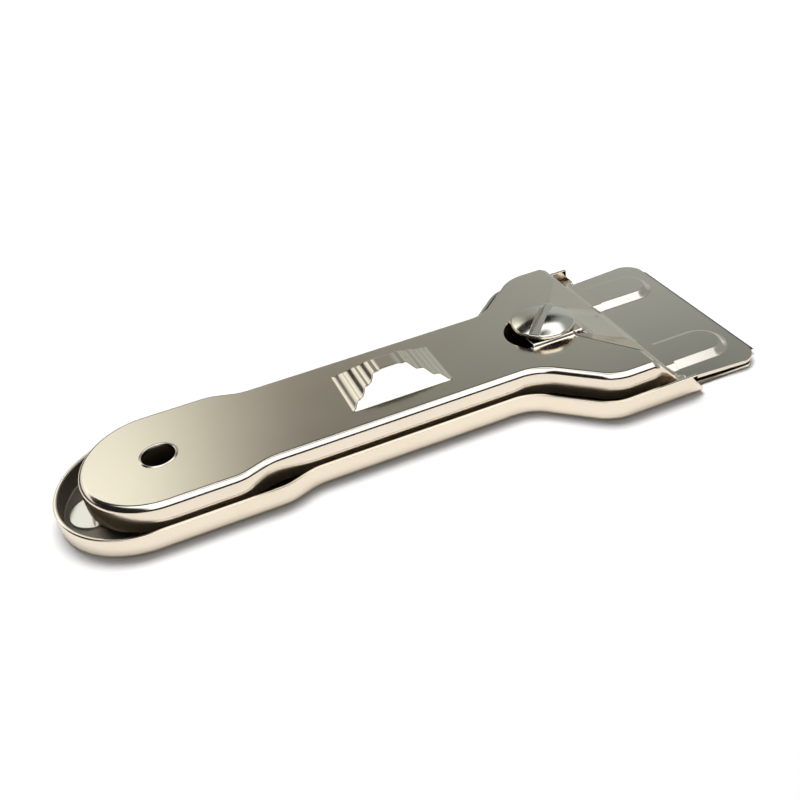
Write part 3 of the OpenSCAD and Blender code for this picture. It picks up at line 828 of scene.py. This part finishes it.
# Clamp screw: a turned steel screw with a low domed head and a wide screwdriver slot, nickel plated.
# It goes through the upper shell's slot into the bush, and clamps the carriage where it is set.
screw_nickel = metal("screw_nickel", (0.88, 0.81, 0.7), (0.83, 0.76, 0.64), 0.14, (1500, 1500, 3500))
head_r = 6.4
head_under = 9.95
dome_base = 10.65
dome_rise = 1.5
dome_r = (head_r ** 2 + dome_rise ** 2) / (2 * dome_rise)
driver_half = 1.1
driver_floor = dome_base + dome_rise - 1.4
driver_turn = math.radians(45)
edge_r = 0.22
under_bevel = 0.12
shank_r = 1.95
shank_foot = 1.0
point_r = 1.6
thread_pitch = 0.7
thread_depth = 0.14


def driver_across(x, y):
    """Distance from the middle line of the screwdriver slot."""
    return np.abs(-(x - screw_x) * math.sin(driver_turn) + y * math.cos(driver_turn))


def head_height(x, y):
    r = np.hypot(x - screw_x, y)
    across = driver_across(x, y)
    dome = dome_base + dome_rise - dome_r + np.sqrt(np.maximum(dome_r ** 2 - r ** 2, 0))
    driver = driver_floor + np.clip((across - driver_half + 0.04) / 0.08, 0, 1) * 3
    top = soft_low(dome, driver, 0.12)
    over = np.clip((r - head_r + edge_r) / edge_r, 0, 1)
    return top - edge_r * (1 - np.sqrt(np.maximum(1 - over ** 2, 0)))


head_edge = arc(screw_x, 0, head_r, 0, 360, 3)[:-1]
rings = np.concatenate((np.arange(0.4, 6.0, 0.35), [6.05, 6.15, 6.25, 6.32, 6.37]))
grid = np.vstack([arc(screw_x, 0, r, 0, 360, max(3, 18 / r))[:-1] for r in rings])
grid = [grid[np.abs(driver_across(*grid.T) - driver_half) > 0.28]]
for v in (0.86, 0.98, 1.04, 1.07, 1.1, 1.13, 1.16, 1.22, 1.34):
    for side in (-1, 1):
        u = np.arange(-6.3, 6.31, 0.3)
        line = np.column_stack((screw_x + u * math.cos(driver_turn) - side * v * math.sin(driver_turn),
                                u * math.sin(driver_turn) + side * v * math.cos(driver_turn)))
        grid.append(line[np.hypot(line[:, 0] - screw_x, line[:, 1]) < head_r - 0.02])
flat, flat_faces, flat_place = fill_sheet([head_edge], np.vstack(grid))
face, normals = raised(head_height, flat)
rim = flat_place[:len(head_edge)]
plan = unit(np.column_stack((face[rim, 0] - screw_x, face[rim, 1], np.zeros(len(rim)))))
normals[rim] = plan
under = np.column_stack((face[rim, :2], np.full(len(rim), head_under + under_bevel)))
profile = [(head_r, head_under + under_bevel), (head_r - under_bevel, head_under),
           (head_r - under_bevel, head_under), (2.0, head_under), (shank_r, head_under - 0.02)]
profile += [(shank_r, z) for z in np.arange(head_under - 0.1, shank_foot + 0.3, -thread_pitch / 8)]
profile += [(point_r, shank_foot), (point_r, shank_foot), (0.001, shank_foot)]
turned_points, turned_normals, turned_faces = turned(profile[::-1], len(head_edge))
spin = np.arctan2(turned_points[:, 1], turned_points[:, 0]) / (2 * math.pi)
on_shank = np.abs(np.hypot(turned_points[:, 0], turned_points[:, 1]) - shank_r) < 0.01
threaded = on_shank & (turned_points[:, 2] < head_under - 1.0)
groove = np.abs((turned_points[:, 2] / thread_pitch - spin) % 1 - 0.5) * 2
turned_points[threaded, :2] *= (1 - thread_depth * groove[threaded])[:, None]
turned_points = turned_points + (screw_x, 0, 0)
base = len(face)
joined = [rim, base + np.arange(len(rim))]
joined = [np.append(row, row[0]) for row in joined]
points = np.vstack((face, under, turned_points))
all_normals = np.vstack((normals, plan, turned_normals))
faces = np.vstack((flat_faces, strips(joined), turned_faces + base + len(rim)))
faces = facing(points, all_normals, faces)
screw = piece_from("clamp_screw_turned", points, all_normals, faces, {"worn": np.zeros(len(points))})
screw.data.materials.append(screw_nickel)
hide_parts("clamp_screw")
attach(screw, "screw")


# The studio: a white table, a large soft lamp above the far side and white surroundings.
# The tent is seen only in the metal: a grey far wall, a softbox overhead and a dark near side.
scene = bpy.context.scene
scene.view_settings.view_transform = "Standard"


def ray_kinds(start):
    """Marks for the rays that come from the camera, off a mirror and through glass."""
    return [start.node("ShaderNodeLightPath", {}, {}, out) for out in (0, 3, 6)]


table_half, table_level = 3, -0.00005
table = bpy.data.objects.new("table", bpy.data.meshes.new("table"))
table_plan = table_half * np.array(((-1, -1), (1, -1), (1, 1), (-1, 1)))
table.data.from_pydata([(x, y, table_level) for x, y in table_plan], [], [(0, 1, 2, 3)])
scene.collection.objects.link(table)
table_white, start = blank_finish("table_white")
camera_ray, glossy_ray, clear_ray = ray_kinds(start)
paper = start.node("ShaderNodeBsdfDiffuse", {}, {"Color": (0.82, 0.82, 0.82, 1)})
ground = start.node("ShaderNodeTexCoord", {}, {}, 3)
away = start.node("ShaderNodeVectorMath", {"operation": "LENGTH"}, {0: ground}, 1)
fade = start.node("ShaderNodeMapRange", {"clamp": True},
                  {"Value": away, "From Min": 0.16, "From Max": 0.7, "To Min": 0.06, "To Max": 1.0})
glow = start.node("ShaderNodeEmission", {},
                  {"Color": (1, 1, 1, 1), "Strength": (camera_ray + clear_ray) * fade})
both = start.node("ShaderNodeAddShader", {}, {0: paper, 1: glow})
spot = start.node("ShaderNodeSeparateXYZ", {}, {0: ground}, 1)
beyond = start.node("ShaderNodeMapRange", {"clamp": True},
                    {"Value": spot, "From Min": 0.01, "From Max": 0.06})
far_paper = start.node("ShaderNodeEmission", {}, {"Color": (0.3, 0.32, 0.3, 1), "Strength": 1.0})
seen_paper = start.node("ShaderNodeMixShader", {}, {0: beyond * glossy_ray, 1: both, 2: far_paper})
start.node("ShaderNodeOutputMaterial", {}, {"Surface": seen_paper})
table.data.materials.append(table_white)

lamp_data = bpy.data.lights.new("soft_lamp", "AREA")
lamp_data.shape = "RECTANGLE"
lamp_data.size = 0.7
lamp_data.size_y = 0.45
lamp_data.energy = 11.6
lamp = bpy.data.objects.new("soft_lamp", lamp_data)
scene.collection.objects.link(lamp)
lamp.location = (0.05, 0.3, 0.9)
lamp.rotation_euler = Vector(lamp.location).to_track_quat("Z", "Y").to_euler()
lamp.visible_glossy = False

surroundings = bpy.data.worlds.new("surroundings")
scene.world = surroundings
surroundings.use_nodes = True
surroundings.node_tree.nodes.clear()
start = Tone(surroundings.node_tree)
camera_ray, glossy_ray, clear_ray = ray_kinds(start)
seen = camera_ray + glossy_ray + clear_ray
sky = start.node("ShaderNodeBackground", {}, {"Color": (1, 1, 1, 1), "Strength": 0.15 + seen * 0.85})
start.node("ShaderNodeOutputWorld", {}, {"Surface": sky})


def tent_colour(way):
    """What the metal sees in each direction: bands from the far wall over the top to the near side."""
    x, y, z = way.T
    over = np.degrees(np.arctan2(z, y))
    turn = np.degrees(np.arctan2(x, np.abs(y) + 1e-6))
    rise = np.degrees(np.arcsin(np.clip(z, -1, 1)))
    stops = [-90, -40, -14, -6, -1, 4, 9, 14, 24, 36, 60, 90]
    red = np.interp(turn, stops, [0.9, 1.1, 1.16, 1.06, 0.72, 0.43, 0.26, 0.26, 0.3, 0.375, 0.38, 0.38])
    green = np.interp(turn, stops, [0.9, 1.1, 1.22, 1.12, 0.75, 0.44, 0.265, 0.27, 0.33, 0.42, 0.42, 0.42])
    blue = np.interp(turn, stops, [0.9, 1.1, 1.2, 1.08, 0.7, 0.42, 0.25, 0.255, 0.33, 0.43, 0.43, 0.43])
    wall = np.column_stack((red, green, blue))
    wall = wall * np.clip(1 + (36 - over) * 0.045 * np.clip(turn / 10, -1, 1), 0.8, 1.2)[:, None]
    low_left = (pressed_step(turn, 0, 12) * pressed_step(rise - 11, 0, 6))[:, None]
    wall = wall * (1 - low_left) + 0.02 * low_left
    soft = (pressed_step(66 - over, 0, 4) * pressed_step(over - 150, 0, 4))[:, None]
    soft = soft * (pressed_step(-0.38 - x, 0, 0.12) * pressed_step(x - 0.5, 0, 0.15))[:, None]
    dark = (pressed_step(45 - over, 0, 3) * pressed_step(turn - 40, 0, 15))[:, None]
    colour = wall * (1 - dark) + 0.015 * dark
    lens = np.exp(-((x - 0.12) / 0.16) ** 2 - ((y - 0.14) / 0.1) ** 2)[:, None] * (z > 0)[:, None]
    soft = soft * (1 - 0.95 * np.clip(lens * 1.6, 0, 1))
    return colour * (1 - soft) + np.array((1.45, 1.55, 1.7)) * soft


tent_rows, tent_turns, tent_r = 220, 360, 1.5
rises = np.radians(np.linspace(-3, 89.9, tent_rows))
turns = np.linspace(0, 2 * math.pi, tent_turns, endpoint=False)
way = np.array([(math.cos(rise) * math.cos(turn), math.cos(rise) * math.sin(turn), math.sin(rise))
                for rise in rises for turn in turns])
numbers = [np.append(k * tent_turns + np.arange(tent_turns), k * tent_turns) for k in range(tent_rows)]
tent = bpy.data.objects.new("tent", bpy.data.meshes.new("tent"))
tent.data.from_pydata((way * tent_r).tolist(), [], strips(numbers).tolist())
paint = tent.data.attributes.new("tent", "FLOAT_COLOR", "POINT")
colours = np.column_stack((tent_colour(way), np.ones(len(way)))).astype(np.float32)
paint.data.foreach_set("color", colours.ravel())
tent_cloth, start = blank_finish("tent_cloth")
painted = start.node("ShaderNodeAttribute", {"attribute_name": "tent"}, {}, 0)
shine = start.node("ShaderNodeEmission", {}, {"Color": painted, "Strength": 1.0})
start.node("ShaderNodeOutputMaterial", {}, {"Surface": shine})
tent.data.materials.append(tent_cloth)
scene.collection.objects.link(tent)
tent.visible_camera = False
tent.visible_diffuse = False
tent.visible_shadow = False
tent.visible_transmission = False
tent.visible_volume_scatter = False
